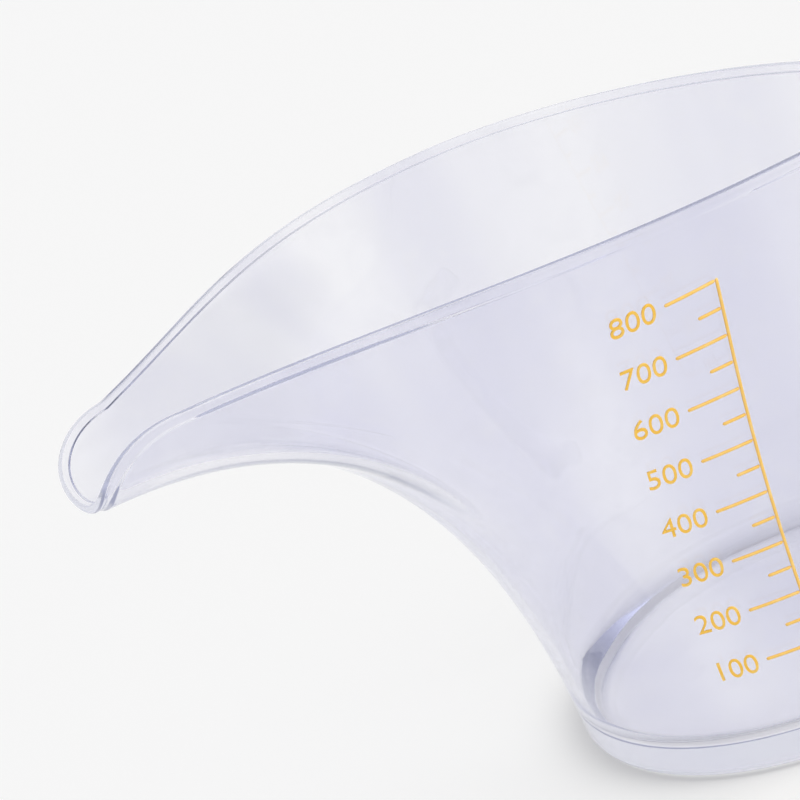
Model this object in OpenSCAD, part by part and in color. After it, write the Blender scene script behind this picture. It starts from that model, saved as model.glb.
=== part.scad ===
// Clear measuring jug with a long open spout. The spout points to -X, the handle to +X and
// the scale faces -Y. The origin is the centre of the base, on the surface that the jug stands on.

/* [Base] */
// Outside diameter of the base
base_d = 97; // [84:1:108]
// Thickness of the floor
floor_t = 5; // [4:0.5:8]
// Rounding between the base and the wall
heel_r = 2.5; // [1.5:0.5:4]
// Fillet between the floor and the wall, inside
inner_fillet = 6; // [2:0.5:10]

/* [Wall] */
// Thickness of the moulded wall
wall_t = 2; // [1.6:0.1:3]

/* [Rim] */
// Height of the rim above the base axis
rim_h = 110.5; // [95:0.5:130]
// Width across the rim at its widest
rim_w = 119.5; // [108:0.5:128]
// Length of the rim's round back, behind its widest line
rim_back = 56.5; // [50:0.5:64]
// Distance of the widest line ahead of the base axis
rim_forward = 2.8; // [0:0.1:12]
// Slope of the rim in degrees, rising towards the spout
rim_slope = 7.8; // [2:0.1:10]
// Fall of the rim's arch at 100 mm from the base axis
rim_arch = 5.6; // [0:0.1:8]
// Height of the thinner edge at the top of the rim
edge_h = 1.2; // [0.8:0.1:3]
// How far the outer face of that edge is set back
edge_inset = 0.4; // [0.2:0.05:0.5]
// Height of the soft shoulder between the wall and that edge
shoulder_h = 0.8; // [0.5:0.1:2]
// Rounding of that edge, outside and inside
edge_r = 0.5; // [0.3:0.05:0.5]

/* [Spout] */
// Reach of the lip ahead of the base axis
spout_reach = 126; // [110:0.5:150]
// Width across the spout where its lip begins
spout_w = 29.5; // [20:0.5:36]
// Length of the lip, from the end of the rim to its tip
lip_l = 16.3; // [8:0.1:22]
// Depth of the lip below the rim
lip_d = 13.2; // [9:0.1:18]
// Fullness of the spout's sides in plan, where 1 is a straight taper
side_fullness = 2.2; // [1.6:0.05:2.6]
// How much the taper of the sides eases off before the lip, as a share
side_ease = 1.1; // [0:0.05:1.4]
// How much the lip narrows towards its tip, as a share of its width
lip_taper = 0.27; // [0:0.01:0.5]
// Height over which the throat pulls upwards before it bends into the spout
throat_rise = 93.5; // [80:0.5:110]
// Outward lean of the throat at the base, in degrees
throat_lean = 1; // [0:0.5:10]
// Length over which the spout's floor runs straight to the lip
lip_run = 17; // [12:1:28]
// Height over which the spout's sides stand straight under the rim
side_rise = 6; // [5:0.5:20]
// Climb of the spout's floor over that run
lip_climb = 2.2; // [0:0.1:6]

/* [Handle] */
// Height of the handle's upper end
handle_top = 82; // [76:1:90]
// Height of the handle's lower end
handle_low = 25; // [20:1:36]
// Reach of the handle behind the wall
handle_reach = 52; // [42:1:64]
// Width of the handle
handle_w = 18; // [15:1:26]
// Thickness of the handle
handle_t = 6.5; // [5:0.5:9]
// Depth of the groove down the handle's outer face
groove_d = 1.2; // [0.4:0.1:1.8]
// Widening of the handle at its two ends
root_flare = 3; // [0:0.5:8]
// Length over which the ends widen, along the handle
root_l = 14; // [8:1:20]
// Seat clearance between the handle and the wall
handle_seat = 0.15; // [0.1:0.05:0.3]

/* [Scale] */
// Volume at the top mark, in millilitres
top_ml = 800; // [400:100:1000]
// Volume between two long marks, in millilitres
step_ml = 100; // [50:50:200]
// Height of the top mark
top_mark_z = 99.8; // [90:0.1:102]
// Spacing of the long marks
mark_step = 10.9; // [8:0.1:12]
// Distance of the scale's upright line ahead of the base axis
spine_forward = 26.5; // [16:0.5:30]
// Length of a long mark, along the wall from the upright line
major_l = 10.2; // [5:0.1:12]
// Length of a short mark, along the wall from the upright line
minor_l = 4.8; // [2:0.1:6]
// Width of the scale's lines
line_w = 0.6; // [0.4:0.05:1.2]
// Height of the lines above the wall
line_lift = 0.35; // [0.2:0.05:0.6]
// Seat clearance between the lines and the wall
line_seat = 0.1; // [0.05:0.05:0.15]

/* [Hidden] */

clear_tint = [0.86, 0.89, 0.95, 0.45];
amber_tint = [0.95, 0.74, 0.24];

base_r = base_d / 2;
foot_r = base_r - heel_r;
wide_x = -rim_forward;
tip_x = -spout_reach;
lip_x = tip_x + lip_l;

// Angles are counted round the base, from 0 at the back to 180 under the spout
side_a = 90;
lip_a = 150;
blend_from_a = 64;
blend_to_a = 146;
// Sections of the shell on each side of the lip's tip, closest together at the tip
side_sections = 44;
section_crowding = 1.5;
wall_rows = 16;
// Distances below the top of the wall at which the shoulder and the rim's edge have a row
edge_drops = [edge_h + shoulder_h / 2, edge_h, edge_h / 2, 0];
round_rows = 2;
heel_rows = 4;
fillet_rows = 4;
probe = 0.01;
search_steps = 14;

function limit(v, low = 0, high = 1) = min(max(v, low), high);
function ease(v) = let (u = limit(v)) u * u * (3 - 2 * u);
function mix(p, q, share) = p * (1 - share) + q * share;
function unit(v) = v / norm(v);
function mirror_y(p) = [p.x, -p.y, p.z];

// Rim of the jug, seen from the side and from above
function rim_z(x) = rim_h - tan(rim_slope) * x - rim_arch * pow(x / 100, 2);
function rim_half_w(x) =
    let (u = limit((x - lip_x) / (wide_x - lip_x)))
    mix(spout_w / 2, rim_w / 2, 1 - pow(1 - u, side_fullness) - side_ease * u * pow(1 - u, 3));

// How far round the lip an angle lies, from 0 at the end of the rim to 90 at the lip's tip
function lip_turn(a) = 90 * limit((a - lip_a) / (180 - lip_a));

function back_rim(a) =
    let (x = wide_x + rim_back * cos(a))
    [x, rim_w / 2 * sin(a), rim_z(x)];
function side_rim(a) =
    let (v = (a - side_a) / (lip_a - side_a),
         run = wide_x - lip_x,
         start = rim_back * (lip_a - side_a) * PI / 180 / run,
         x = wide_x - run * (start * v + (1 - start) * v * v))
    [x, rim_half_w(x), rim_z(x)];
function lip_rim(a) =
    let (turn = lip_turn(a),
         fall = 1 - cos(turn),
         x = lip_x - lip_l * sin(turn),
         half_w = spout_w / 2 * (1 - lip_taper * sin(turn)))
    [x, half_w * sqrt(1 - fall * fall), rim_z(lip_x) - tan(rim_slope) * (x - lip_x) - lip_d * fall];
function rim_point(a) =
    a <= side_a ? back_rim(a) : a <= lip_a ? side_rim(a) : lip_rim(a);

// Four control points of the wall's line at one angle: straight at the back, swept under the spout
function wall_line(a) =
    let (out = [cos(a), sin(a), 0],
         low = base_r * out + [0, 0, floor_t],
         top = rim_point(a),
         turn = lip_turn(a),
         lip_share = ease(turn / 90),
         up = [-sin(turn), 0, cos(turn)],
         run = mix(side_rise, lip_run, lip_share),
         climb = [0, 0, lip_climb * lip_share],
         swept_low = low + throat_rise * (sin(throat_lean) * abs(cos(a)) * out + [0, 0, cos(throat_lean)]),
         swept_top = top - run * up - climb,
         share = ease((a - blend_from_a) / (blend_to_a - blend_from_a)))
    [low, mix(mix(low, top, 1 / 3), swept_low, share), mix(mix(low, top, 2 / 3), swept_top, share), top];
function along(c, t) =
    pow(1 - t, 3) * c[0] + 3 * pow(1 - t, 2) * t * c[1] + 3 * (1 - t) * t * t * c[2] + pow(t, 3) * c[3];

// Outer face of the wall at an angle from 0 to 360 and a share of the way up
function wall_point(a, t) =
    a <= 180 ? along(wall_line(a), t) : mirror_y(along(wall_line(360 - a), t));
function wall_up(a, t) =
    let (t1 = limit(t - probe), t2 = limit(t + probe))
    unit(wall_point(a, t2) - wall_point(a, t1));
function wall_normal(a, t) =
    let (b = (a + 360) % 360,
         side = wall_point((b + probe * 90) % 360, t) - wall_point((b + 360 - probe * 90) % 360, t))
    unit(cross(side, wall_up(b, t)));

// Share of the way up at a short distance below the top of the wall
function share_below_top(a, drop, low = 0.5, high = 1, steps = search_steps) =
    let (t = (low + high) / 2)
    steps == 0 ? t
    : norm(wall_point(a, 1) - wall_point(a, t)) > drop
    ? share_below_top(a, drop, t, high, steps - 1) : share_below_top(a, drop, low, t, steps - 1);
// Outer face of the rim's edge and of the shoulder under it, at a distance below the top
function edge_point(a, drop) =
    let (t = share_below_top(a, drop))
    wall_point(a, t) - edge_inset * ease((edge_h + shoulder_h - drop) / shoulder_h) * wall_normal(a, t);

// Share of the way up at which the wall's line reaches a height
function share_at(a, z, low = 0, high = 1, steps = search_steps) =
    let (t = (low + high) / 2)
    steps == 0 ? t
    : wall_point(a, t).z < z ? share_at(a, z, t, high, steps - 1) : share_at(a, z, low, t, steps - 1);
function wall_at(a, z) = wall_point(a, share_at(a, z));
// Angle at which the wall lies at a distance x along the jug, at a height
function angle_at(x, z, low = 40, high = 140, steps = search_steps) =
    let (a = (low + high) / 2)
    steps == 0 ? a
    : wall_at(a, z).x > x ? angle_at(x, z, a, high, steps - 1) : angle_at(x, z, low, a, steps - 1);
// How far the angle turns over a length along the wall, towards the spout, at a height
function turn_over(length, a, z, low = 0, high = 30, steps = search_steps) =
    let (turn = (low + high) / 2)
    steps == 0 ? turn
    : norm(wall_at(a + turn, z) - wall_at(a, z)) < length
    ? turn_over(length, a, z, turn, high, steps - 1) : turn_over(length, a, z, low, turn, steps - 1);
// Point of the back wall at a distance y from the middle, at a height
function back_wall(y, z, low = 0, high = 60, steps = search_steps) =
    let (a = (low + high) / 2,
         p = wall_at(a, z))
    steps == 0 ? p
    : p.y < y ? back_wall(y, z, a, high, steps - 1) : back_wall(y, z, low, a, steps - 1);

// Closed skin over rings of points, with the first and last ring capped
module skin(rings) {
    n = len(rings[0]);
    m = len(rings);
    points = [for (ring = rings) each ring];
    sides = [
        for (i = [0 : m - 2], j = [0 : n - 1])
            let (k = (j + 1) % n)
            each [
                [i * n + j, (i + 1) * n + k, i * n + k],
                [i * n + j, (i + 1) * n + j, (i + 1) * n + k]
            ]
    ];
    first = [for (j = [0 : n - 1]) j];
    last = [for (j = [n - 1 : -1 : 0]) (m - 1) * n + j];
    polyhedron(points, concat([first], sides, [last]));
}

// Step from the centre of a rounding of the rim's edge, turned from outwards up and over to inwards
function rim_arc(a, turn) =
    edge_r * (cos(turn) * wall_normal(a, 1) + sin(turn) * wall_up(a, 1));

// One upright section of the jug's shell, from under the base round to the floor
function shell_section(a) =
    let (out = [cos(a), sin(a), 0],
         heel = [
             for (i = [0 : heel_rows])
                 let (turn = 90 * i / heel_rows)
                 (foot_r + heel_r * sin(turn)) * out + [0, 0, heel_r * (1 - cos(turn))]
         ],
         shoulder_t = share_below_top(a, edge_h + shoulder_h),
         outer = [for (i = [0 : wall_rows]) wall_point(a, shoulder_t * i / wall_rows)],
         edge = [for (drop = edge_drops) edge_point(a, drop)],
         rim_out = wall_normal(a, 1),
         outer_centre = edge_point(a, 0) - edge_r * rim_out,
         inner_centre = wall_point(a, 1) - (wall_t - edge_r) * rim_out,
         rounding = concat(
             [for (i = [1 : round_rows]) outer_centre + rim_arc(a, 90 * i / round_rows)],
             [for (i = [0 : round_rows - 1]) inner_centre + rim_arc(a, 90 + 90 * i / round_rows)]
         ),
         fillet_t = share_at(min(a, 360 - a), floor_t + inner_fillet),
         inner = [
             for (i = [wall_rows : -1 : 0])
                 let (t = fillet_t + (1 - fillet_t) * i / wall_rows)
                 wall_point(a, t) - wall_t * wall_normal(a, t)
         ],
         foot = inner[wall_rows],
         fillet = [
             for (i = [1 : fillet_rows])
                 let (turn = 90 * i / fillet_rows)
                 foot - inner_fillet * (1 - cos(turn)) * out
                     - [0, 0, (foot.z - floor_t) * sin(turn)]
         ])
    concat(heel, outer, edge, rounding, inner, fillet);

module jug_body() {
    sections = [
        for (i = [-side_sections : side_sections])
            shell_section(180 + sign(i) * 180 * pow(abs(i) / (side_sections + 0.5), section_crowding))
    ];
    color(clear_tint)
        skin([for (i = [0 : len(sections[0]) - 1]) [for (section = sections) section[i]]]);
}

// Centre line of the handle in side view, a curve from its upper end round to its lower end
handle_pull = handle_reach * 4 / 3;
handle_line = [
    [back_wall(0, handle_top).x, handle_top],
    [back_wall(0, handle_top).x + handle_pull, handle_top + handle_t],
    [back_wall(0, handle_low).x + handle_pull, handle_low + handle_t],
    [back_wall(0, handle_low).x, handle_low]
];
handle_rows = 40;
corner_r = handle_t * 0.35;
corner_rows = 3;
groove_share = 0.7;
cap_shares = [1 / 3, 2 / 3];

// Section of the handle: across its width, and outwards, with a shallow groove in its outer face
function corner(w, h, from) =
    [
        for (i = [0 : corner_rows])
            let (turn = from + 90 * i / corner_rows)
            [w + corner_r * cos(turn), h + corner_r * sin(turn)]
    ];
function handle_section(width) =
    let (w = width / 2 - corner_r,
         h = handle_t / 2 - corner_r,
         groove_w = w * groove_share)
    concat(
        corner(-w, -h, 180), corner(w, -h, 270), corner(w, h, 0),
        [[groove_w, handle_t / 2], [groove_w - groove_d, handle_t / 2 - groove_d]],
        [[groove_d - groove_w, handle_t / 2 - groove_d], [-groove_w, handle_t / 2]],
        corner(-w, h, 90)
    );

function handle_ring(t, share = 1) =
    let (here = along(handle_line, t),
         ahead = unit(along(handle_line, t + probe) - along(handle_line, t - probe)),
         out = [-ahead.y, ahead.x],
         from_end = min(norm(here - handle_line[0]), norm(here - handle_line[3])),
         width = handle_w + root_flare * pow(1 - limit(from_end / root_l), 2))
    [
        for (p = share * handle_section(width))
            let (place = here + p.y * out)
            [place.x, p.x, place.y]
    ];
// The ring moved onto the back wall, so that the handle's end follows it
function seated(ring) =
    [for (p = ring) [back_wall(abs(p.y), p.z).x + handle_seat, p.y, p.z]];

module handle() {
    free_rows = [for (i = [2 : handle_rows - 2]) handle_ring(i / handle_rows)];
    top_cap = [for (share = concat(cap_shares, 1)) seated(handle_ring(0, share))];
    low_cap = [for (share = [1, cap_shares[1], cap_shares[0]]) seated(handle_ring(1, share))];
    color(clear_tint)
        skin(concat(top_cap, free_rows, low_cap));
}

// A strip of the scale that lies on the wall, through pairs of edge points given as [angle, height]
function on_wall(p, lift) =
    let (t = share_at(p[0], p[1]))
    mirror_y(wall_point(p[0], t) + lift * wall_normal(p[0], t));
module strip(pairs) {
    skin([
        for (pair = pairs)
            [
                on_wall(pair[0], line_seat),
                on_wall(pair[0], line_seat + line_lift),
                on_wall(pair[1], line_seat + line_lift),
                on_wall(pair[1], line_seat)
            ]
    ]);
}

spine_x = -spine_forward;
mark_count = floor(top_ml / step_ml);
low_mark_z = top_mark_z - (mark_count - 1) * mark_step;
spine_rows = 24;
mark_rows = 4;
// Gap between the upright line and the marks, so that they stay separate solids
mark_gap = 0.15;

module mark(z, length) {
    spine_a = angle_at(spine_x, z);
    start = turn_over(line_w / 2 + mark_gap, spine_a, z);
    end = turn_over(length, spine_a, z);
    strip([
        for (i = [0 : mark_rows])
            let (a = spine_a + mix(start, end, i / mark_rows))
            [[a, z - line_w / 2], [a, z + line_w / 2]]
    ]);
}

module scale_spine() {
    color(amber_tint)
        strip([
            for (i = [0 : spine_rows])
                let (z = mix(low_mark_z - line_w / 2, top_mark_z + line_w / 2, i / spine_rows),
                     a = angle_at(spine_x, z),
                     half = turn_over(line_w / 2, a, z))
                [[a + half, z], [a - half, z]]
        ]);
}

module major_marks() {
    color(amber_tint)
        for (i = [0 : mark_count - 1]) mark(low_mark_z + i * mark_step, major_l);
}

module minor_marks() {
    color(amber_tint)
        for (i = [0 : mark_count - 2]) mark(low_mark_z + (i + 0.5) * mark_step, minor_l);
}

jug_body();
handle();
scale_spine();
major_marks();
minor_marks();
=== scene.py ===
# Clear measuring jug with a long open spout, dressed over its CAD frame

import math

import bpy
import numpy as np
from mathutils import Matrix, Vector


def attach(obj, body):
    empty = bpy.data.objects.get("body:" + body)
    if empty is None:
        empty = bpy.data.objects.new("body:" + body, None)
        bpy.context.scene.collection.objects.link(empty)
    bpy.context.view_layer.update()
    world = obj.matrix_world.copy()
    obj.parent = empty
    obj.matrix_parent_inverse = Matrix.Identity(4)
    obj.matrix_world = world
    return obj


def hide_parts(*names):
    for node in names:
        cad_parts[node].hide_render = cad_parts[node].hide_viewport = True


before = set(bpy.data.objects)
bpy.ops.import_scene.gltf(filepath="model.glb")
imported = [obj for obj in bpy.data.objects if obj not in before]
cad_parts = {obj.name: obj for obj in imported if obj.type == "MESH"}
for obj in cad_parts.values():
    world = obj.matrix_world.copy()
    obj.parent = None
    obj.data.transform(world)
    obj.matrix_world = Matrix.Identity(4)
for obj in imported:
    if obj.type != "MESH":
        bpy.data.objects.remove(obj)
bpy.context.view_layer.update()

MM = 0.001

# Sizes of the jug, the same as in the part's source
BASE_R = 48.5 * MM
FLOOR_T = 5 * MM
HEEL_R = 2.5 * MM
INNER_FILLET = 6 * MM
WALL_T = 2 * MM
RIM_H = 110.5 * MM
RIM_W = 119.5 * MM
RIM_BACK = 56.5 * MM
RIM_FORWARD = 2.8 * MM
RIM_RISE = math.tan(math.radians(7.8))
RIM_ARCH = 5.6 * MM
ARCH_SPAN = 100 * MM
EDGE_H = 1.2 * MM
EDGE_INSET = 0.4 * MM
SHOULDER_H = 0.8 * MM
EDGE_R = 0.5 * MM
SPOUT_REACH = 126 * MM
SPOUT_W = 29.5 * MM
LIP_L = 16.3 * MM
LIP_D = 13.2 * MM
SIDE_FULLNESS = 2.2
SIDE_EASE = 1.1
LIP_TAPER = 0.27
THROAT_RISE = 93.5 * MM
THROAT_LEAN = math.radians(1)
LIP_RUN = 17 * MM
SIDE_RISE = 6 * MM
LIP_CLIMB = 2.2 * MM
HANDLE_TOP = 82 * MM
HANDLE_LOW = 25 * MM
HANDLE_REACH = 52 * MM
HANDLE_W = 18 * MM
HANDLE_T = 6.5 * MM
GROOVE_D = 1.2 * MM
ROOT_FLARE = 3 * MM
ROOT_L = 14 * MM
HANDLE_SEAT = 0.15 * MM
TOP_MARK_Z = 99.8 * MM
MARK_STEP = 10.9 * MM
MARK_COUNT = 8
SPINE_X = -26.5 * MM
MAJOR_L = 10.2 * MM
MINOR_L = 4.8 * MM
LINE_W = 0.6 * MM
LINE_LIFT = 0.35 * MM

# Sizes that only this dressed model has
LINE_SEAT = 0.02 * MM
MARK_GAP = 0.05 * MM
NUMERAL_SIZE = 5.8 * MM
NUMERAL_GAP = 1.5 * MM
NUMERAL_LIFT = 0.12 * MM
NUMERAL_EDGE = 0.03 * MM
NUMERAL_THINNING = 0.05 * MM
HEEL_SHADE_FULL = 1 * MM
HEEL_SHADE_TOP = 13 * MM
FLOOR_DROP = 0.3 * MM

# Shares: the numerals' width of the typeface's own, the handle's corners of its thickness,
# the groove's edge and slope of half its face, and a line's crown at its ends and its sides
NUMERAL_SQUEEZE = 1.03
HANDLE_CORNER = 0.35
GROOVE_EDGE = 0.7
GROOVE_SLOPE = 0.32
CROWN_END = 0.35
CROWN_FALL = 0.6

# Rows of the meshes: up the wall, round a quarter turn, and on a flat disc or a handle's end
WALL_ROWS = 57
ROUND_ROWS = 10
DISC_SHARES = (0.02, 0.5, 0.9, 0.97)
END_SHARES = (0.05, 0.5, 0.9, 1.0)

# Millilitres from one long mark to the next
MARK_VOLUME = 100

# Colours and levels of the plain studio
PALE = (0.93, 0.93, 0.93)
BLACK = (0.0, 0.0, 0.0)
WHITE = (1.0, 1.0, 1.0)
AMBIENT_LEVEL = 0.42
STRIP_LEVEL = 1.1

# The photograph's camera, in degrees, metres and pixels
CAMERA_TURN = -28.361
CAMERA_RISE = 19.438
CAMERA_ROLL = 24.7
CAMERA_AIM = (-0.062337, 0.0, 0.092785)
CAMERA_AWAY = 0.559529
FOCAL_PIXELS = 3085.0
PICTURE_PIXELS = 800.0
SENSOR_MM = 36.0

# Angles round the base in degrees: 0 at the back, 180 under the spout, past 180 on the scale's side
SIDE_A = 90.0
LIP_A = 150.0
BLEND_FROM_A = 64.0
BLEND_TO_A = 146.0
HANDLE_SIDE_A = 60.0
SCALE_FROM_A = 190.0
SCALE_TO_A = 330.0

WIDE_X = -RIM_FORWARD
LIP_X = LIP_L - SPOUT_REACH


def ease(share):
    share = np.clip(share, 0.0, 1.0)
    return share * share * (3.0 - 2.0 * share)


def mix(low, high, share):
    return low * (1.0 - share) + high * share


def unit(vectors):
    return vectors / np.linalg.norm(vectors, axis=-1, keepdims=True)


def bezier(controls, t):
    a, b, c, d = controls
    t = np.asarray(t, float)[..., None]
    return (1 - t) ** 3 * a + 3 * (1 - t) ** 2 * t * b + 3 * (1 - t) * t * t * c + t ** 3 * d


def halved(low, high, is_below):
    """Halves the range from low to high until it closes on the place where is_below turns false."""
    for _ in range(30):
        middle = (low + high) / 2
        below = is_below(middle)
        low = np.where(below, middle, low)
        high = np.where(below, high, middle)
    return (low + high) / 2


def rim_height(x):
    return RIM_H - RIM_RISE * x - RIM_ARCH * (x / ARCH_SPAN) ** 2


def rim_half_width(x):
    share = np.clip((x - LIP_X) / (WIDE_X - LIP_X), 0.0, 1.0)
    left = 1.0 - share
    return mix(SPOUT_W / 2, RIM_W / 2, 1.0 - left ** SIDE_FULLNESS - SIDE_EASE * share * left ** 3)


def lip_turn(angle):
    """How far round the lip an angle lies: 0 where the lip starts, a quarter turn at the tip."""
    return math.pi / 2 * np.clip((angle - LIP_A) / (180.0 - LIP_A), 0.0, 1.0)


def rim_line(angle):
    """Points of the rim at angles from 0 to 180: the round back, the spout's side, then the lip."""
    back_x = WIDE_X + RIM_BACK * np.cos(np.radians(angle))
    back_y = RIM_W / 2 * np.sin(np.radians(angle))
    share = np.clip((angle - SIDE_A) / (LIP_A - SIDE_A), 0.0, 1.0)
    run = WIDE_X - LIP_X
    start = RIM_BACK * math.radians(LIP_A - SIDE_A) / run
    side_x = WIDE_X - run * (start * share + (1.0 - start) * share ** 2)
    turn = lip_turn(angle)
    fall = 1.0 - np.cos(turn)
    lip_x = LIP_X - LIP_L * np.sin(turn)
    lip_half_w = SPOUT_W / 2 * (1.0 - LIP_TAPER * np.sin(turn))
    lip_y = lip_half_w * np.sqrt(np.clip(1.0 - fall ** 2, 0.0, 1.0))
    lip_z = rim_height(LIP_X) - RIM_RISE * (lip_x - LIP_X) - LIP_D * fall
    at_back = angle <= SIDE_A
    at_lip = angle > LIP_A
    x = np.where(at_back, back_x, np.where(at_lip, lip_x, side_x))
    y = np.where(at_back, back_y, np.where(at_lip, lip_y, rim_half_width(side_x)))
    z = np.where(at_lip, lip_z, rim_height(x))
    return np.stack([x, y, z], axis=-1)


def wall_points(angle, share):
    """Outer face of the wall by angle and share of the way up: straight at the back, swept in front."""
    angle, share = np.broadcast_arrays(np.asarray(angle, float) % 360.0, np.asarray(share, float))
    near_side = angle > 180.0
    folded = np.where(near_side, 360.0 - angle, angle)
    turn_round = np.radians(folded)
    up = np.array([0.0, 0.0, 1.0])
    out = np.stack([np.cos(turn_round), np.sin(turn_round), np.zeros_like(folded)], axis=-1)
    low = BASE_R * out + FLOOR_T * up
    top = rim_line(folded)
    turn = lip_turn(folded)
    lip_share = ease(turn / (math.pi / 2))[..., None]
    lip_up = np.stack([-np.sin(turn), np.zeros_like(turn), np.cos(turn)], axis=-1)
    lean = math.sin(THROAT_LEAN) * np.abs(np.cos(turn_round))[..., None] * out
    swept_low = low + THROAT_RISE * (lean + math.cos(THROAT_LEAN) * up)
    swept_top = top - mix(SIDE_RISE, LIP_RUN, lip_share) * lip_up - LIP_CLIMB * lip_share * up
    sweep = ease((folded - BLEND_FROM_A) / (BLEND_TO_A - BLEND_FROM_A))[..., None]
    first = mix(mix(low, top, 1 / 3), swept_low, sweep)
    second = mix(mix(low, top, 2 / 3), swept_top, sweep)
    points = bezier((low, first, second, top), share)
    points[..., 1] *= np.where(near_side, -1.0, 1.0)
    return points


def wall_up(angle, share):
    step = 0.004
    higher = wall_points(angle, np.clip(share + step, 0, 1))
    lower = wall_points(angle, np.clip(share - step, 0, 1))
    return unit(higher - lower)


def wall_normal(angle, share):
    step = 0.2
    side = wall_points(angle + step, share) - wall_points(angle - step, share)
    return unit(np.cross(side, wall_up(angle, share)))


def share_below_top(angle, drop):
    """Share of the way up at a short distance below the top of the wall."""
    top = wall_points(angle, 1.0)

    def is_below(share):
        return np.linalg.norm(top - wall_points(angle, share), axis=-1) > drop

    return halved(np.full(angle.shape, 0.5), np.ones(angle.shape), is_below)


def share_at_height(angle, z):
    """Share of the way up at which the wall reaches a height."""
    shape = np.broadcast(angle, z).shape

    def is_below(share):
        return wall_points(angle, share)[..., 2] < z

    return halved(np.zeros(shape), np.ones(shape), is_below)


# Heights, and distances right of the upright line, at which the scale's side is worked out
SCALE_HEIGHTS = np.linspace(15, 108, 94) * MM
SCALE_RIGHTS = np.linspace(-32, 3, 141) * MM


def scale_angle_grid():
    """Angles on the scale's side, by height and by distance along the wall from the upright line."""
    angle = np.arange(SCALE_FROM_A, SCALE_TO_A, 0.5)
    rows = []
    for z in SCALE_HEIGHTS:
        points = wall_points(angle, share_at_height(angle, z))
        steps = np.linalg.norm(np.diff(points, axis=0), axis=1)
        run = np.concatenate([[0.0], np.cumsum(steps)])
        upright = np.interp(SPINE_X, points[:, 0], run)
        rows.append(np.interp(upright + SCALE_RIGHTS, run, angle))
    return np.array(rows)


SCALE_ANGLES = scale_angle_grid()


def on_scale_side(right, z, lift):
    """Points lifted off the wall's scale side, by distance right of the upright line and by height."""
    row = (z - SCALE_HEIGHTS[0]) / (SCALE_HEIGHTS[1] - SCALE_HEIGHTS[0])
    column = (right - SCALE_RIGHTS[0]) / (SCALE_RIGHTS[1] - SCALE_RIGHTS[0])
    i = row.astype(int)
    j = column.astype(int)
    lower = mix(SCALE_ANGLES[i, j], SCALE_ANGLES[i, j + 1], column - j)
    upper = mix(SCALE_ANGLES[i + 1, j], SCALE_ANGLES[i + 1, j + 1], column - j)
    angle = mix(lower, upper, row - i)
    share = share_at_height(angle, z)
    return wall_points(angle, share) + lift[:, None] * wall_normal(angle, share)


def on_back_wall(y, z, lift):
    """Points on the back wall at a distance from the middle and a height."""
    def is_short(angle):
        return wall_points(angle, share_at_height(angle, z))[..., 1] < y

    angle = halved(np.full(y.shape, -HANDLE_SIDE_A), np.full(y.shape, HANDLE_SIDE_A), is_short)
    points = wall_points(angle, share_at_height(angle, z))
    points[..., 0] += lift
    return points


def ring_faces(rows, count):
    """Quads of a skin over closed rings, facing out when the rings turn anticlockwise going up."""
    faces = []
    for row in range(rows - 1):
        for k in range(count):
            after = (k + 1) % count
            low = row * count
            high = low + count
            faces.append((low + k, low + after, high + after, high + k))
    return faces


def add_piece(name, points, faces, material, slot):
    mesh = bpy.data.meshes.new(name)
    mesh.from_pydata([tuple(p) for p in points], [], faces)
    mesh.validate()
    mesh.shade_smooth()
    mesh.materials.append(material)
    piece = bpy.data.objects.new(name, mesh)
    bpy.context.scene.collection.objects.link(piece)
    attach(piece, "root")
    return piece


# Shader node groups and materials

def socket(group, name, in_out, kind, value=None):
    made = group.interface.new_socket(name=name, in_out=in_out, socket_type=kind)
    if value is not None:
        made.default_value = value


def add_node(tree, kind, x, y, **settings):
    node = tree.nodes.new(kind)
    node.location = (x, y)
    for key, value in settings.items():
        setattr(node, key, value)
    return node


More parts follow.
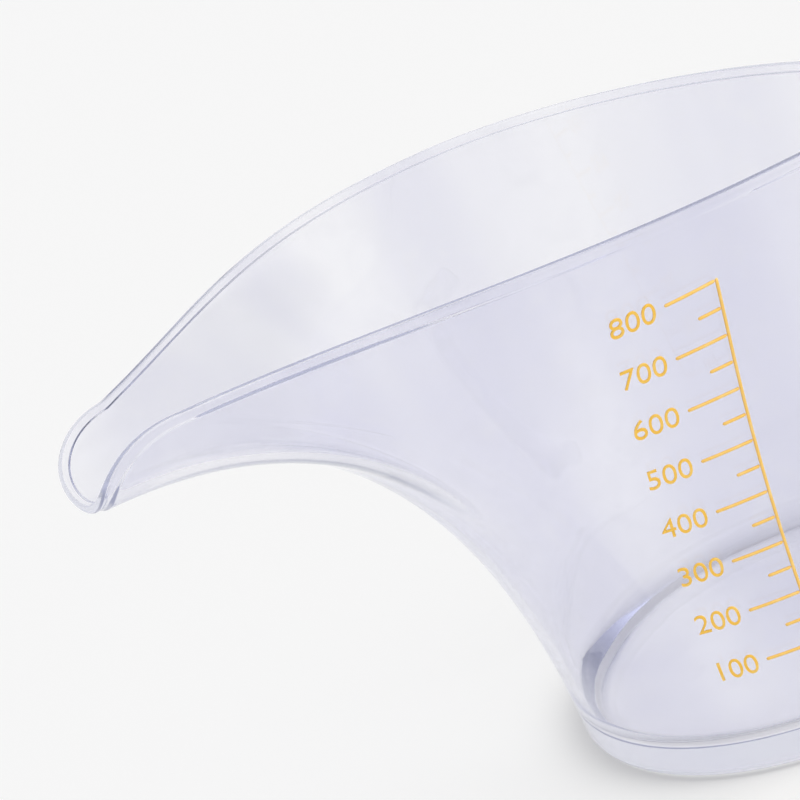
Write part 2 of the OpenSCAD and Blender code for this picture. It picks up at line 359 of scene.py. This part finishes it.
def surface_and_painted_reflection_group():
    """Slow ripple of a moulded face, upright bands of painted reflection, and rubbed patches."""
    group = bpy.data.node_groups.new("surface_and_painted_reflection", "ShaderNodeTree")
    socket(group, "Ripple Scale", "INPUT", "NodeSocketFloat", 40.0)
    socket(group, "Painted Reflection Scale", "INPUT", "NodeSocketFloat", 25.0)
    socket(group, "Rub Scale", "INPUT", "NodeSocketFloat", 90.0)
    socket(group, "Polished", "INPUT", "NodeSocketFloat", 0.02)
    socket(group, "Rubbed", "INPUT", "NodeSocketFloat", 0.08)
    socket(group, "Ripple", "OUTPUT", "NodeSocketFloat")
    socket(group, "Roughness", "OUTPUT", "NodeSocketFloat")
    socket(group, "Painted Reflection Mask", "OUTPUT", "NodeSocketFloat")
    socket(group, "Rub Mask", "OUTPUT", "NodeSocketFloat")
    inside = add_node(group, "NodeGroupInput", -900, 0)
    outside = add_node(group, "NodeGroupOutput", 500, 0)
    place = add_node(group, "ShaderNodeTexCoord", -900, 300)
    ripple = add_node(group, "ShaderNodeTexNoise", -500, 300)
    ripple.inputs["Detail"].default_value = 1.5
    ripple.inputs["Roughness"].default_value = 0.4
    # Stretched upright noise for painted reflections. Its shift sets where the light and dark bands lie
    # on the far wall
    upright = add_node(group, "ShaderNodeMapping", -700, 550)
    upright.inputs["Scale"].default_value = (1.0, 1.0, 0.12)
    upright.inputs["Location"].default_value = (1.856, 1.052, 0.0)
    reflection_noise = add_node(group, "ShaderNodeTexNoise", -500, 550)
    reflection_noise.inputs["Detail"].default_value = 2.0
    reflection_noise.inputs["Roughness"].default_value = 0.45
    spread = add_node(group, "ShaderNodeMapRange", -250, 550, interpolation_type="SMOOTHSTEP")
    spread.inputs["From Min"].default_value = 0.32
    spread.inputs["From Max"].default_value = 0.68
    rub = add_node(group, "ShaderNodeTexNoise", -500, 0)
    rub.inputs["Detail"].default_value = 6.0
    rub.inputs["Roughness"].default_value = 0.65
    rub.inputs["Distortion"].default_value = 0.6
    mask = add_node(group, "ShaderNodeMapRange", -250, 0)
    mask.inputs["From Min"].default_value = 0.5
    mask.inputs["From Max"].default_value = 0.75
    finish = add_node(group, "ShaderNodeMapRange", 100, -100)
    link = group.links.new
    link(place.outputs["Object"], ripple.inputs["Vector"])
    link(place.outputs["Object"], rub.inputs["Vector"])
    link(place.outputs["Object"], upright.inputs["Vector"])
    link(upright.outputs["Vector"], reflection_noise.inputs["Vector"])
    link(inside.outputs["Painted Reflection Scale"], reflection_noise.inputs["Scale"])
    link(reflection_noise.outputs["Fac"], spread.inputs["Value"])
    link(spread.outputs["Result"], outside.inputs["Painted Reflection Mask"])
    link(inside.outputs["Ripple Scale"], ripple.inputs["Scale"])
    link(inside.outputs["Rub Scale"], rub.inputs["Scale"])
    link(rub.outputs["Fac"], mask.inputs["Value"])
    link(mask.outputs["Result"], finish.inputs["Value"])
    link(inside.outputs["Polished"], finish.inputs["To Min"])
    link(inside.outputs["Rubbed"], finish.inputs["To Max"])
    link(ripple.outputs["Fac"], outside.inputs["Ripple"])
    link(finish.outputs["Result"], outside.inputs["Roughness"])
    link(mask.outputs["Result"], outside.inputs["Rub Mask"])
    return group


SURFACE_AND_PAINTED_REFLECTION = surface_and_painted_reflection_group()


def place_surface_and_painted_reflection(tree, values):
    node = add_node(tree, "ShaderNodeGroup", -700, 0)
    node.node_tree = SURFACE_AND_PAINTED_REFLECTION
    for key, value in values.items():
        node.inputs[key].default_value = value
    return node


def mix_colour(tree, x, y, low, high):
    node = add_node(tree, "ShaderNodeMix", x, y, data_type="RGBA")
    node.inputs["A"].default_value = (*low, 1.0)
    node.inputs["B"].default_value = (*high, 1.0)
    return node


# Reflections after which light caught inside the plastic is let out
CAUGHT = 1.5


def clear_plastic(name, tint, painted_reflection_tint, rubbed_tint, ripple_scale, ripple_depth):
    """Polished clear plastic that shades the floor lightly, and more at its edges and its heel."""
    material = bpy.data.materials.new(name)
    material.use_nodes = True
    tree = material.node_tree
    tree.nodes.clear()
    surface = place_surface_and_painted_reflection(tree, {
        "Ripple Scale": ripple_scale,
        "Painted Reflection Scale": 28.0,
        "Rub Scale": 130.0,
        "Polished": 0.015,
        "Rubbed": 0.05,
    })
    # Painted reflection: the colour turns darker in upright bands between lighter ones, in place of the
    # wall's reflections
    painted_reflections = mix_colour(tree, -500, 300, tint, painted_reflection_tint)
    colour = add_node(tree, "ShaderNodeMix", -300, 300, data_type="RGBA")
    colour.inputs["B"].default_value = (*rubbed_tint, 1.0)
    bump = add_node(tree, "ShaderNodeBump", -400, -200)
    bump.inputs["Strength"].default_value = 0.35
    bump.inputs["Distance"].default_value = ripple_depth
    plastic = add_node(tree, "ShaderNodeBsdfPrincipled", -100, 100)
    plastic.inputs["Transmission Weight"].default_value = 1.0
    plastic.inputs["IOR"].default_value = 1.5

    # Light caught between the faces leaves along a straight tinted path
    let_out = add_node(tree, "ShaderNodeBsdfTransparent", -100, -300)
    let_out.inputs["Color"].default_value = (0.81, 0.82, 0.885, 1.0)

    # Light for the floor passes straight through, shaded at grazing faces and low on the wall
    facing = add_node(tree, "ShaderNodeLayerWeight", -900, -400)
    facing.inputs["Blend"].default_value = 0.5
    grazing = add_node(tree, "ShaderNodeMath", -700, -400, operation="POWER")
    grazing.inputs[1].default_value = 8.0
    place = add_node(tree, "ShaderNodeTexCoord", -1300, -600)
    height = add_node(tree, "ShaderNodeSeparateXYZ", -1100, -600)
    low = add_node(tree, "ShaderNodeMapRange", -900, -600)
    low.inputs["From Min"].default_value = HEEL_SHADE_TOP
    low.inputs["From Max"].default_value = HEEL_SHADE_FULL
    tilt = add_node(tree, "ShaderNodeSeparateXYZ", -1100, -850)
    steep = add_node(tree, "ShaderNodeMath", -900, -850, operation="ABSOLUTE")
    upright = add_node(tree, "ShaderNodeMapRange", -700, -850)
    upright.inputs["From Min"].default_value = 0.99
    upright.inputs["From Max"].default_value = 0.9
    heel = add_node(tree, "ShaderNodeMath", -700, -600, operation="MULTIPLY")
    edge = add_node(tree, "ShaderNodeMath", -500, -450, operation="MAXIMUM")
    shade = mix_colour(tree, -300, -400, (0.994, 0.994, 0.996), (0.62, 0.62, 0.64))
    cast = add_node(tree, "ShaderNodeBsdfTransparent", -100, -450)

    path = add_node(tree, "ShaderNodeLightPath", -500, 700)
    caught = add_node(tree, "ShaderNodeMath", -200, 550, operation="GREATER_THAN")
    caught.inputs[1].default_value = CAUGHT
    soft = add_node(tree, "ShaderNodeMath", -200, 750, operation="MAXIMUM")
    seen = add_node(tree, "ShaderNodeMixShader", 250, 100)
    blend = add_node(tree, "ShaderNodeMixShader", 450, 0)
    output = add_node(tree, "ShaderNodeOutputMaterial", 650, 0)
    link = tree.links.new
    link(surface.outputs["Painted Reflection Mask"], painted_reflections.inputs["Factor"])
    link(painted_reflections.outputs["Result"], colour.inputs["A"])
    link(surface.outputs["Rub Mask"], colour.inputs["Factor"])
    link(colour.outputs["Result"], plastic.inputs["Base Color"])
    link(surface.outputs["Roughness"], plastic.inputs["Roughness"])
    link(surface.outputs["Ripple"], bump.inputs["Height"])
    link(bump.outputs["Normal"], plastic.inputs["Normal"])
    link(path.outputs["Glossy Depth"], caught.inputs[0])
    link(caught.outputs["Value"], seen.inputs["Fac"])
    link(plastic.outputs["BSDF"], seen.inputs[1])
    link(let_out.outputs["BSDF"], seen.inputs[2])
    link(facing.outputs["Facing"], grazing.inputs[0])
    link(place.outputs["Object"], height.inputs["Vector"])
    link(height.outputs["Z"], low.inputs["Value"])
    link(place.outputs["Normal"], tilt.inputs["Vector"])
    link(tilt.outputs["Z"], steep.inputs[0])
    link(steep.outputs["Value"], upright.inputs["Value"])
    link(low.outputs["Result"], heel.inputs[0])
    link(upright.outputs["Result"], heel.inputs[1])
    link(grazing.outputs["Value"], edge.inputs[0])
    link(heel.outputs["Value"], edge.inputs[1])
    link(edge.outputs["Value"], shade.inputs["Factor"])
    link(shade.outputs["Result"], cast.inputs["Color"])
    link(path.outputs["Is Shadow Ray"], soft.inputs[0])
    link(path.outputs["Is Diffuse Ray"], soft.inputs[1])
    link(soft.outputs["Value"], blend.inputs["Fac"])
    link(seen.outputs["Shader"], blend.inputs[1])
    link(cast.outputs["BSDF"], blend.inputs[2])
    link(blend.outputs["Shader"], output.inputs["Surface"])
    return material


def amber_ink(name, full, rubbed):
    """Amber of the scale: full, and thinner where it has been rubbed."""
    material = bpy.data.materials.new(name)
    material.use_nodes = True
    tree = material.node_tree
    tree.nodes.clear()
    surface = place_surface_and_painted_reflection(tree, {
        "Ripple Scale": 300.0,
        "Painted Reflection Scale": 60.0,
        "Rub Scale": 420.0,
        "Polished": 0.3,
        "Rubbed": 0.55,
    })
    colour = mix_colour(tree, -400, 200, full, rubbed)
    bump = add_node(tree, "ShaderNodeBump", -400, -200)
    bump.inputs["Strength"].default_value = 0.3
    bump.inputs["Distance"].default_value = 0.05 * MM
    ink = add_node(tree, "ShaderNodeBsdfPrincipled", -100, 100)
    ink.inputs["IOR"].default_value = 1.48
    output = add_node(tree, "ShaderNodeOutputMaterial", 250, 100)
    link = tree.links.new
    link(surface.outputs["Rub Mask"], colour.inputs["Factor"])
    link(colour.outputs["Result"], ink.inputs["Base Color"])
    link(surface.outputs["Roughness"], ink.inputs["Roughness"])
    link(surface.outputs["Ripple"], bump.inputs["Height"])
    link(bump.outputs["Normal"], ink.inputs["Normal"])
    link(ink.outputs["BSDF"], output.inputs["Surface"])
    return material


# The second tint of each plastic is painted reflection, laid in upright bands
CLEAR_WALL = clear_plastic(
    "clear_wall",
    tint=(0.955, 0.955, 0.99),
    painted_reflection_tint=(0.85, 0.85, 0.93),
    rubbed_tint=(0.89, 0.89, 0.94),
    ripple_scale=45.0,
    ripple_depth=0.25 * MM,
)
CLEAR_HANDLE = clear_plastic(
    "clear_grip",
    tint=(0.84, 0.84, 0.92),
    painted_reflection_tint=(0.76, 0.76, 0.86),
    rubbed_tint=(0.79, 0.79, 0.87),
    ripple_scale=60.0,
    ripple_depth=0.2 * MM,
)
AMBER_NUMERALS = amber_ink("amber_numerals", full=(0.95, 0.56, 0.07), rubbed=(0.97, 0.68, 0.2))
AMBER_LINES = amber_ink("amber_lines", full=(0.93, 0.57, 0.13), rubbed=(0.96, 0.67, 0.26))


# The jug's shell: underside, heel, wall, rim, inside of the wall, fillet and floor in one skin

def shell_angles():
    """Angles of the shell's sections, closest together round the lip where the plan turns fastest."""
    back = np.linspace(0.0, SIDE_A, 61)[:-1]
    side = np.linspace(SIDE_A, LIP_A, 61)[:-1]
    lip = 180.0 - (180.0 - LIP_A) * np.linspace(1.0, 0.0, 37) ** 2
    half = np.concatenate([back, side, lip])
    return np.concatenate([half, 360.0 - half[-2:0:-1]])


def shell_piece():
    angle = shell_angles()
    out = np.stack([np.cos(np.radians(angle)), np.sin(np.radians(angle)), 0 * angle], axis=-1)
    up = np.array([0.0, 0.0, 1.0])
    foot_r = BASE_R - HEEL_R
    rows = [foot_r * share * out for share in DISC_SHARES]
    for turn in np.linspace(0.0, math.pi / 2, ROUND_ROWS):
        rows.append((foot_r + HEEL_R * math.sin(turn)) * out + HEEL_R * (1 - math.cos(turn)) * up)
    shoulder_share = share_below_top(angle, EDGE_H + SHOULDER_H)
    rows += [wall_points(angle, shoulder_share * share) for share in np.linspace(0.0, 1.0, WALL_ROWS)]
    for drop in [*np.linspace(EDGE_H + SHOULDER_H, EDGE_H, 9)[1:], EDGE_H / 2, 0.0]:
        share = share_below_top(angle, drop)
        inset = EDGE_INSET * ease((EDGE_H + SHOULDER_H - drop) / SHOULDER_H)
        rows.append(wall_points(angle, share) - inset * wall_normal(angle, share))
    rim_out = wall_normal(angle, 1.0)
    rim_up = wall_up(angle, 1.0)
    outer_centre = rows[-1] - EDGE_R * rim_out
    inner_centre = wall_points(angle, 1.0) - (WALL_T - EDGE_R) * rim_out
    quarter = np.linspace(0.0, math.pi / 2, 8)
    for centre, turns in ((outer_centre, quarter[1:]), (inner_centre, math.pi / 2 + quarter[:-1])):
        rows += [centre + EDGE_R * (math.cos(t) * rim_out + math.sin(t) * rim_up) for t in turns]
    fillet_share = share_at_height(angle, FLOOR_T + INNER_FILLET)
    for share in np.linspace(1.0, 0.0, WALL_ROWS):
        at = fillet_share + (1 - fillet_share) * share
        rows.append(wall_points(angle, at) - WALL_T * wall_normal(angle, at))
    foot = rows[-1]
    drop = foot[:, 2:3] - FLOOR_T
    for turn in np.linspace(0.0, math.pi / 2, ROUND_ROWS)[1:]:
        rows.append(foot - INNER_FILLET * (1 - math.cos(turn)) * out - drop * math.sin(turn) * up)
    edge = rows[-1]
    centre = FLOOR_T * up
    rows += [mix(centre, edge, share) for share in reversed(DISC_SHARES)]
    count = len(angle)
    faces = ring_faces(len(rows), count)
    faces.append(tuple(range(count - 1, -1, -1)))
    faces.append(tuple((len(rows) - 1) * count + k for k in range(count)))
    piece = add_piece("jug_shell", np.concatenate(rows), faces, CLEAR_WALL, "clear_plastic")
    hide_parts("jug_body")


# The handle: one swept bar with round corners, a soft groove down its outer face and flared roots

def handle_section(width):
    """Across and outward distances round the handle, anticlockwise seen along it."""
    corner = HANDLE_T * HANDLE_CORNER
    w = width / 2 - corner
    h = HANDLE_T / 2 - corner
    points = []
    for centre_w, centre_h, start in ((-w, -h, 180), (w, -h, 270), (w, h, 0)):
        for turn in np.radians(start + np.linspace(0, 90, 8)):
            points.append((centre_w + corner * math.cos(turn), centre_h + corner * math.sin(turn)))
    for share in np.linspace(1, -1, 26)[1:-1]:
        dip = GROOVE_D * ease((GROOVE_EDGE - abs(share)) / GROOVE_SLOPE)
        points.append((w * share, HANDLE_T / 2 - dip))
    for turn in np.radians(90 + np.linspace(0, 90, 8)):
        points.append((-w + corner * math.cos(turn), h + corner * math.sin(turn)))
    return np.array(points)


def handle_piece():
    top_x, low_x = on_back_wall(np.zeros(2), np.array([HANDLE_TOP, HANDLE_LOW]), 0.0)[:, 0]
    pull = HANDLE_REACH * 4 / 3
    controls = np.array([
        [top_x, HANDLE_TOP],
        [top_x + pull, HANDLE_TOP + HANDLE_T],
        [low_x + pull, HANDLE_LOW + HANDLE_T],
        [low_x, HANDLE_LOW],
    ])

    def ring(t, share=1.0):
        here = bezier(controls, t)
        ahead = unit(bezier(controls, t + 0.01) - bezier(controls, t - 0.01))
        outward = np.array([-ahead[1], ahead[0]])
        from_end = min(np.linalg.norm(here - controls[0]), np.linalg.norm(here - controls[3]))
        flare = ROOT_FLARE * (1 - min(from_end / ROOT_L, 1.0)) ** 2
        section = handle_section(HANDLE_W + flare) * share
        place = here + section[:, 1:2] * outward
        return np.stack([place[:, 0], section[:, 0], place[:, 1]], axis=-1)

    def seated(points):
        return on_back_wall(points[:, 1], points[:, 2], HANDLE_SEAT)

    rows = [seated(ring(0.0, share)) for share in END_SHARES]
    rows += [ring(t) for t in np.linspace(0.04, 0.96, 93)]
    rows += [seated(ring(1.0, share)) for share in reversed(END_SHARES)]
    count = len(rows[0])
    faces = [tuple(reversed(face)) for face in ring_faces(len(rows), count)]
    faces.append(tuple(range(count)))
    faces.append(tuple((len(rows) - 1) * count + k for k in range(count - 1, -1, -1)))
    piece = add_piece("loop_handle", np.concatenate(rows), faces, CLEAR_HANDLE, "clear_handle")
    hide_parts("handle")


# The scale: crowned amber lines and numerals that lie on the wall

def crowned_line(start, end, rows):
    """Points and faces of a crowned line with rounded ends, between two pairs of right and height."""
    start = np.array(start)
    end = np.array(end)
    along = unit(end - start)
    across = np.array([-along[1], along[0]])
    length = np.linalg.norm(end - start)
    half = LINE_W / 2
    ends = half * (1 - np.cos(np.linspace(0.12, math.pi / 2, 6)))
    steps = np.concatenate([ends, np.linspace(half, length - half, rows)[1:-1], length - ends[::-1]])
    section = np.linspace(-1, 1, 9)
    right, z, lift = [], [], []
    for step in steps:
        near = min(min(step, length - step) / half, 1.0)
        width = half * math.sqrt(max(1 - (1 - near) ** 2, 0.0))
        crown = LINE_LIFT * mix(CROWN_END, 1.0, near) * (1 - CROWN_FALL * section ** 4)
        spot = start + step * along + (section * width)[:, None] * across
        right += [*spot[:, 0], *spot[::-1, 0][[0, -1]]]
        z += [*spot[:, 1], *spot[::-1, 1][[0, -1]]]
        lift += [*(LINE_SEAT + crown), LINE_SEAT, LINE_SEAT]
    points = on_scale_side(np.array(right), np.array(z), np.array(lift))
    count = len(section) + 2
    faces = ring_faces(len(steps), count)
    faces.append(tuple(range(count - 1, -1, -1)))
    faces.append(tuple((len(steps) - 1) * count + k for k in range(count)))
    return points, faces


def joined(parts):
    points, faces = [], []
    for part_points, part_faces in parts:
        shift = sum(len(p) for p in points)
        points.append(part_points)
        faces += [tuple(k + shift for k in face) for face in part_faces]
    return np.concatenate(points), faces


def mark_heights():
    return [TOP_MARK_Z - (MARK_COUNT - 1 - k) * MARK_STEP for k in range(MARK_COUNT)]


def scale_pieces():
    heights = mark_heights()
    spine = crowned_line((0.0, heights[0] - LINE_W / 2), (0.0, heights[-1] + LINE_W / 2), 60)
    start = -LINE_W / 2 - MARK_GAP
    long_marks = [crowned_line((-MAJOR_L, z), (start, z), 14) for z in heights]
    halfway = [z + MARK_STEP / 2 for z in heights[:-1]]
    short_marks = [crowned_line((-MINOR_L, z), (start, z), 8) for z in halfway]
    for name, node, parts in (
        ("scale_line", "scale_spine", [spine]),
        ("long_marks", "major_marks", long_marks),
        ("short_marks", "minor_marks", short_marks),
    ):
        piece = add_piece(name, *joined(parts), AMBER_LINES, "amber_scale")
        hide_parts(node)


def numeral_shape(words):
    """Points and faces of one numeral as a flat sign, from the default typeface."""
    data = bpy.data.curves.new("numeral", "FONT")
    data.body = words
    data.size = NUMERAL_SIZE
    data.align_x = "RIGHT"
    data.offset = -NUMERAL_THINNING
    data.extrude = NUMERAL_LIFT
    data.bevel_depth = NUMERAL_EDGE
    data.bevel_resolution = 1
    data.resolution_u = 6
    sign = bpy.data.objects.new("numeral", data)
    bpy.context.scene.collection.objects.link(sign)
    bpy.context.view_layer.update()
    mesh = bpy.data.meshes.new_from_object(sign.evaluated_get(bpy.context.evaluated_depsgraph_get()))
    points = np.array([v.co[:] for v in mesh.vertices]) * (NUMERAL_SQUEEZE, 1.0, 1.0)
    faces = [tuple(p.vertices) for p in mesh.polygons]
    bpy.data.objects.remove(sign)
    bpy.data.curves.remove(data)
    bpy.data.meshes.remove(mesh)
    return points, faces


def numeral_piece():
    parts = []
    right = -MAJOR_L - NUMERAL_GAP
    for k, z in enumerate(mark_heights()):
        points, faces = numeral_shape(str(MARK_VOLUME * (k + 1)))
        middle = (points[:, 1].min() + points[:, 1].max()) / 2
        lift = LINE_SEAT + points[:, 2] - points[:, 2].min()
        placed = on_scale_side(right + points[:, 0], z + points[:, 1] - middle, lift)
        parts.append((placed, faces))
    add_piece("scale_numerals", *joined(parts), AMBER_NUMERALS, "amber_scale")


shell_piece()
handle_piece()
scale_pieces()
numeral_piece()


# Floor, light and camera

def pale_floor():
    """A wide round floor, so that the plastic shows no corner of it."""
    count = 96
    turn = np.linspace(0.0, 2 * math.pi, count, endpoint=False)
    out = np.stack([np.cos(turn), np.sin(turn), 0 * turn], axis=-1)
    drop = np.array([0.0, 0.0, FLOOR_DROP])
    rows = [radius * out - drop for radius in (0.1, 0.4, 1.5, 6.0, 24.0)]
    faces = [tuple(reversed(face)) for face in ring_faces(len(rows), count)]
    faces.append(tuple(range(count)))
    mesh = bpy.data.meshes.new("pale_floor")
    mesh.from_pydata([tuple(p) for p in np.concatenate(rows)], [], faces)
    material = bpy.data.materials.new("pale_floor")
    material.use_nodes = True
    paint = material.node_tree.nodes["Principled BSDF"]
    paint.inputs["Base Color"].default_value = (*PALE, 1.0)
    paint.inputs["Roughness"].default_value = 0.9
    paint.inputs["Specular IOR Level"].default_value = 0.0
    mesh.materials.append(material)
    floor = bpy.data.objects.new("pale_floor", mesh)
    bpy.context.scene.collection.objects.link(floor)


def set_stops(ramp, stops):
    """Gives a colour ramp its stops, each a position and a colour, from the lowest up."""
    for element, (position, colour) in zip(ramp.elements, stops[:2]):
        element.position = position
        element.color = (*colour, 1.0)
    for position, colour in stops[2:]:
        ramp.elements.new(position).color = (*colour, 1.0)


def studio_world():
    """Even pale light on the floor. The plastic shows a dim-sided pale room and a strip light."""
    world = bpy.data.worlds.new("studio")
    bpy.context.scene.world = world
    world.use_nodes = True
    tree = world.node_tree
    tree.nodes.clear()
    place = add_node(tree, "ShaderNodeTexCoord", -900, 300)
    split = add_node(tree, "ShaderNodeSeparateXYZ", -700, 300)
    side = add_node(tree, "ShaderNodeMath", -500, 300, operation="ABSOLUTE")
    raised = add_node(tree, "ShaderNodeMapRange", -500, 500, interpolation_type="SMOOTHSTEP")
    raised.inputs["From Min"].default_value = 0.0
    raised.inputs["From Max"].default_value = 0.25
    dimmed = add_node(tree, "ShaderNodeMath", -400, 400, operation="MULTIPLY")
    walls = add_node(tree, "ShaderNodeValToRGB", -300, 300)
    set_stops(walls.color_ramp, ((0.15, (0.97, 0.97, 0.98)), (0.85, (0.5, 0.51, 0.57))))
    strip = add_node(tree, "ShaderNodeValToRGB", -300, 0)
    strip.color_ramp.interpolation = "EASE"
    set_stops(strip.color_ramp, ((0.28, BLACK), (0.45, WHITE), (0.6, WHITE), (0.8, BLACK)))
    room = add_node(tree, "ShaderNodeBackground", 0, 300)
    glow = add_node(tree, "ShaderNodeBackground", 0, 100)
    front = add_node(tree, "ShaderNodeMapRange", -300, -250, interpolation_type="SMOOTHSTEP")
    front.inputs["From Min"].default_value = -0.3
    front.inputs["From Max"].default_value = -0.95
    front.inputs["To Max"].default_value = STRIP_LEVEL
    mirrored = add_node(tree, "ShaderNodeMath", -100, -250, operation="MULTIPLY")
    shown = add_node(tree, "ShaderNodeAddShader", 200, 250)
    ambient = add_node(tree, "ShaderNodeBackground", 0, -100)
    ambient.inputs["Color"].default_value = (*WHITE, 1.0)
    ambient.inputs["Strength"].default_value = AMBIENT_LEVEL
    backdrop = add_node(tree, "ShaderNodeBackground", 0, -300)
    backdrop.inputs["Color"].default_value = (*PALE, 1.0)
    path = add_node(tree, "ShaderNodeLightPath", -300, 600)
    either = add_node(tree, "ShaderNodeMath", 0, 600, operation="MAXIMUM")
    first = add_node(tree, "ShaderNodeMixShader", 400, 100)
    second = add_node(tree, "ShaderNodeMixShader", 600, 0)
    output = add_node(tree, "ShaderNodeOutputWorld", 800, 0)
    link = tree.links.new
    link(place.outputs["Generated"], split.inputs["Vector"])
    link(split.outputs["X"], side.inputs[0])
    link(split.outputs["Z"], raised.inputs["Value"])
    link(side.outputs["Value"], dimmed.inputs[0])
    link(raised.outputs["Result"], dimmed.inputs[1])
    link(dimmed.outputs["Value"], walls.inputs["Fac"])
    link(walls.outputs["Color"], room.inputs["Color"])
    link(split.outputs["Z"], strip.inputs["Fac"])
    link(strip.outputs["Color"], glow.inputs["Color"])
    link(split.outputs["Y"], front.inputs["Value"])
    link(front.outputs["Result"], mirrored.inputs[0])
    link(path.outputs["Is Glossy Ray"], mirrored.inputs[1])
    link(mirrored.outputs["Value"], glow.inputs["Strength"])
    link(room.outputs["Background"], shown.inputs[0])
    link(glow.outputs["Background"], shown.inputs[1])
    link(path.outputs["Is Glossy Ray"], either.inputs[0])
    link(path.outputs["Is Transmission Ray"], either.inputs[1])
    link(either.outputs["Value"], first.inputs["Fac"])
    link(ambient.outputs["Background"], first.inputs[1])
    link(shown.outputs["Shader"], first.inputs[2])
    link(path.outputs["Is Camera Ray"], second.inputs["Fac"])
    link(first.outputs["Shader"], second.inputs[1])
    link(backdrop.outputs["Background"], second.inputs[2])
    link(second.outputs["Shader"], output.inputs["Surface"])


def sun_lamp(name, place, energy, spread):
    data = bpy.data.lights.new(name, "SUN")
    data.energy = energy
    data.angle = math.radians(spread)
    made = bpy.data.objects.new(name, data)
    turn = (-Vector(place)).to_track_quat("-Z", "Y").to_matrix().to_4x4()
    made.matrix_world = Matrix.Translation(place) @ turn
    made.visible_glossy = False
    made.visible_transmission = False
    bpy.context.scene.collection.objects.link(made)


def studio_lights():
    """A broad lamp high on the scale's side, and a weak one beside the camera for the scale."""
    sun_lamp("high_lamp", place=(0.42, -0.68, 1.0), energy=2.05, spread=38)
    sun_lamp("front_fill", place=(-0.45, -0.85, 0.35), energy=0.6, spread=60)


def photo_camera():
    """The photograph's camera: aimed at the spout's root and rolled, so that the jug leans to pour."""
    azimuth, elevation, roll = (math.radians(v) for v in (CAMERA_TURN, CAMERA_RISE, CAMERA_ROLL))
    back = Vector((
        math.sin(azimuth) * math.cos(elevation),
        -math.cos(azimuth) * math.cos(elevation),
        math.sin(elevation),
    ))
    right = (-back).cross(Vector((0.0, 0.0, 1.0))).normalized()
    above = back.cross(right)
    across = math.cos(roll) * right - math.sin(roll) * above
    along = math.sin(roll) * right + math.cos(roll) * above
    data = bpy.data.cameras.new("photo_camera")
    data.sensor_width = SENSOR_MM
    data.lens = FOCAL_PIXELS * SENSOR_MM / PICTURE_PIXELS
    made = bpy.data.objects.new("photo_camera", data)
    turn = Matrix((across, along, back)).transposed().to_4x4()
    made.matrix_world = Matrix.Translation(Vector(CAMERA_AIM) + back * CAMERA_AWAY) @ turn
    bpy.context.scene.collection.objects.link(made)
    bpy.context.scene.camera = made


pale_floor()
studio_world()
studio_lights()
photo_camera()
bpy.context.scene.view_settings.view_transform = "Standard"
